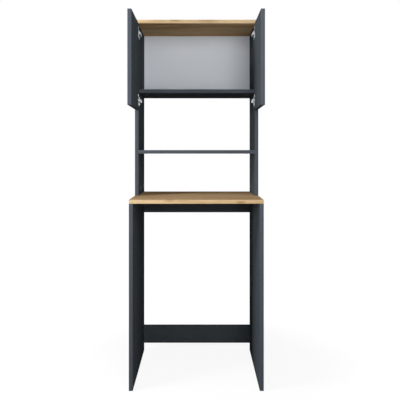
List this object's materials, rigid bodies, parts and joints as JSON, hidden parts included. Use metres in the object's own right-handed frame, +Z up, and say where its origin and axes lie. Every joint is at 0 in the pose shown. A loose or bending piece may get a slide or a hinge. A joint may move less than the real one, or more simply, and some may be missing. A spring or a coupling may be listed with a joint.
{
  "type": "washing machine cabinet",
  "caption": "Tall free-standing cabinet with a bay for a washing machine, an oak-look worktop, open niches above it and a cupboard with hinged doors on top.",
  "frame": {"origin": "on the floor, under the middle of the box round the whole object with its doors open at a right angle", "axes": "+Z up, +Y from the front to the wall behind, +X to the right of someone facing the front"},
  "size_m": [0.653, 0.6226, 1.872],
  "materials": {
    "grey_board": "matt melamine, fine pearl texture, chipboard core",
    "oak_board": "matt oak-look melamine, chipboard core",
    "grey_edge_band": "matt edge band",
    "oak_edge_band": "matt oak-look edge band",
    "fibreboard": "thin fibreboard, pale lacquer on the front",
    "beech": "turned beech",
    "grey_plastic": "matt moulded plastic",
    "pale_plastic": "matt moulded plastic",
    "zinc_plated_steel": "zinc plated",
    "nickel_plated_steel": "nickel plated"
  },
  "bodies": {
    "carcass": {"arm_screws": "zinc_plated_steel", "back_panel": "fibreboard", "back_panel_nails": "zinc_plated_steel", "bracket_screws": "zinc_plated_steel", "cam_bolts": "zinc_plated_steel", "cam_covers": "grey_plastic", "cam_locks": "zinc_plated_steel", "cupboard_floor": "grey_board", "floor_glides": "pale_plastic", "grey_edging": "grey_edge_band", "left_lower_hinge_arm": "nickel_plated_steel", "left_lower_hinge_plate": "nickel_plated_steel", "left_lower_side": "grey_board", "left_upper_hinge_arm": "nickel_plated_steel", "left_upper_hinge_plate": "nickel_plated_steel", "left_upper_side": "grey_board", "left_wall_bracket": "zinc_plated_steel", "lower_rail": "grey_board", "middle_shelf": "grey_board", "oak_edging": "oak_edge_band", "plate_screws": "zinc_plated_steel", "rail_screws": "zinc_plated_steel", "right_lower_hinge_arm": "nickel_plated_steel", "right_lower_hinge_plate": "nickel_plated_steel", "right_lower_side": "grey_board", "right_upper_hinge_arm": "nickel_plated_steel", "right_upper_hinge_plate": "nickel_plated_steel", "right_upper_side": "grey_board", "right_wall_bracket": "zinc_plated_steel", "screw_caps": "grey_plastic", "top_board": "oak_board", "upper_rail": "grey_board", "wooden_dowels": "beech", "worktop": "oak_board"},
    "left_door_leaf": {"left_cup_screws": "zinc_plated_steel", "left_door": "grey_board", "left_door_edging": "grey_edge_band", "left_hinge_pins": "nickel_plated_steel", "left_lower_hinge_cup": "nickel_plated_steel", "left_upper_hinge_cup": "nickel_plated_steel"},
    "right_door_leaf": {"right_cup_screws": "zinc_plated_steel", "right_door": "grey_board", "right_door_edging": "grey_edge_band", "right_hinge_pins": "nickel_plated_steel", "right_lower_hinge_cup": "nickel_plated_steel", "right_upper_hinge_cup": "nickel_plated_steel"}
  },
  "joints": [
    {"name": "left_door_hinge", "type": "hinge", "parent": "carcass", "child": "left_door_leaf", "pos_m": [-0.3125, -0.00025, 1.601], "axis": [0, 0, 1], "range_deg": [-5, 90]},
    {"name": "right_door_hinge", "type": "hinge", "parent": "carcass", "child": "right_door_leaf", "pos_m": [0.3125, -0.00025, 1.601], "axis": [0, 0, 1], "range_deg": [-90, 5]}
  ]
}
